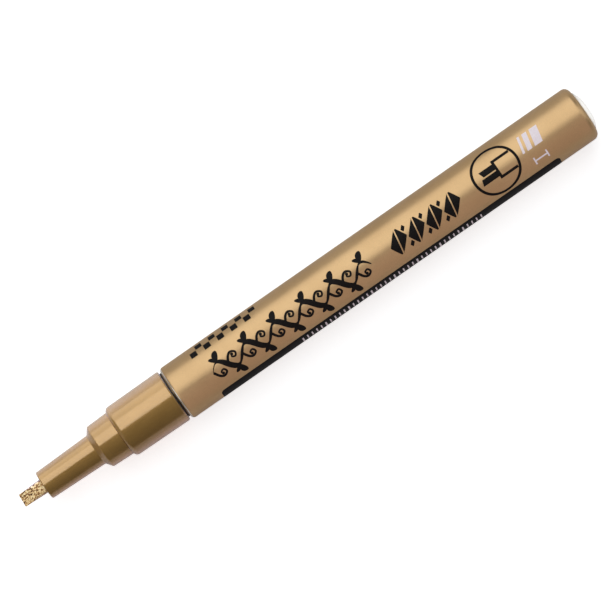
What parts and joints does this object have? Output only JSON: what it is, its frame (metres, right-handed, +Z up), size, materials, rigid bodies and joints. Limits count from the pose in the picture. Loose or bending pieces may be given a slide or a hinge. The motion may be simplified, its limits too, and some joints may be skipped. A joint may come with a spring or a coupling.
{
  "type": "calligraphy marker",
  "caption": "Uncapped round paint marker with a chisel felt nib, a stepped gold grip, a gold metal barrel and a spring valve that opens as the nib is pressed.",
  "frame": {"origin": "midway along the pen, under its axis, on the surface it lies on", "axes": "+X from the nib towards the tail, +Z up through the side that carries the print and the chisel cut, +Y to the side"},
  "size_m": [0.1318, 0.0116, 0.0115],
  "materials": {
    "inked_felt": "matte",
    "buffer_felt": "matte",
    "gold_plastic": "gloss",
    "gold_lacquer": "satin",
    "black_rubber": "matte",
    "valve_plastic": "satin",
    "spring_steel": "polished",
    "ball_steel": "polished",
    "white_plastic": "satin",
    "black_ink": "satin",
    "pale_ink": "satin"
  },
  "bodies": {
    "barrel": {"barrel_tube": "gold_lacquer", "tail_plug": "white_plastic", "collar": "gold_plastic", "nib_holder": "gold_plastic", "ink_buffer": "buffer_felt", "mouth_seal": "black_rubber", "valve_housing": "valve_plastic", "valve_spring": "spring_steel", "spring_retainer": "valve_plastic"},
    "valve": {"valve_stem": "valve_plastic", "valve_packing": "black_rubber"},
    "nib": {"nib": "inked_felt"},
    "front_ball": {"front_ball": "ball_steel"},
    "rear_ball": {"rear_ball": "ball_steel"}
  },
  "joints": [
    {"name": "valve_press", "type": "slide", "parent": "barrel", "child": "valve", "axis": [1, 0, 0], "range_m": [0, 0.0015], "stiffness_N_per_m": 400, "springref_m": -0.002, "deforming": ["valve_spring"]},
    {"name": "nib_pull", "type": "slide", "parent": "valve", "child": "nib", "axis": [-1, 0, 0], "range_m": [0, 0.034]},
    {"name": "front_ball_roll", "type": "slide", "parent": "barrel", "child": "front_ball", "axis": [1, 0, 0], "range_m": [0, 0.054]},
    {"name": "rear_ball_roll", "type": "slide", "parent": "barrel", "child": "rear_ball", "axis": [1, 0, 0], "range_m": [0, 0.054]}
  ],
  "couplings": [
    {"joint": "rear_ball_roll", "follows": "front_ball_roll", "ratio": 1}
  ]
}
